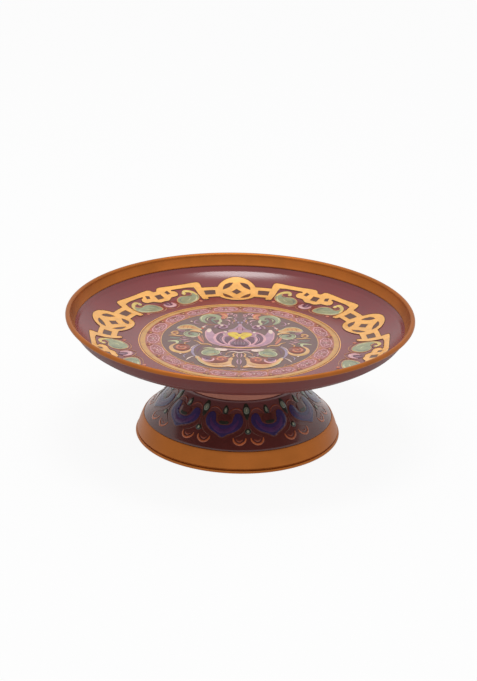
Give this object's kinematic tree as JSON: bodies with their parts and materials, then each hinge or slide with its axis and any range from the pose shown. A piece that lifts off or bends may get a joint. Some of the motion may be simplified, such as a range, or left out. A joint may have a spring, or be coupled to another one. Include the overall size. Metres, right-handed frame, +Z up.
{
  "type": "pedestal offering plate",
  "caption": "Round shallow dish with a rolled gilt rim on a waisted bell foot with a gilt base band, for fruit or offerings.",
  "frame": {"origin": "on the floor, under the axis of the dish and foot", "axes": "+Z up along the axis; -Y towards the picture's camera; +X to its right"},
  "size_m": [0.26, 0.26, 0.098],
  "materials": {
    "lacquer": "deep maroon gloss lacquer with coloured enamel ornament",
    "neck_lacquer": "plain brown-maroon gloss lacquer",
    "gilt": "satin copper-gold gilding",
    "steel": "zinc-plated hardware",
    "felt": "dark brown pressed felt"
  },
  "bodies": {
    "root": {"dish": "lacquer", "rim_ring": "gilt", "stud_plate": "steel", "centre_stud": "steel", "neck_cup": "neck_lacquer", "foot_shell": "lacquer", "spreader_plate": "steel", "flat_washer": "steel", "spring_washer": "steel", "hex_nut": "steel", "foot_band": "gilt", "base_pad": "felt"}
  },
  "joints": []
}
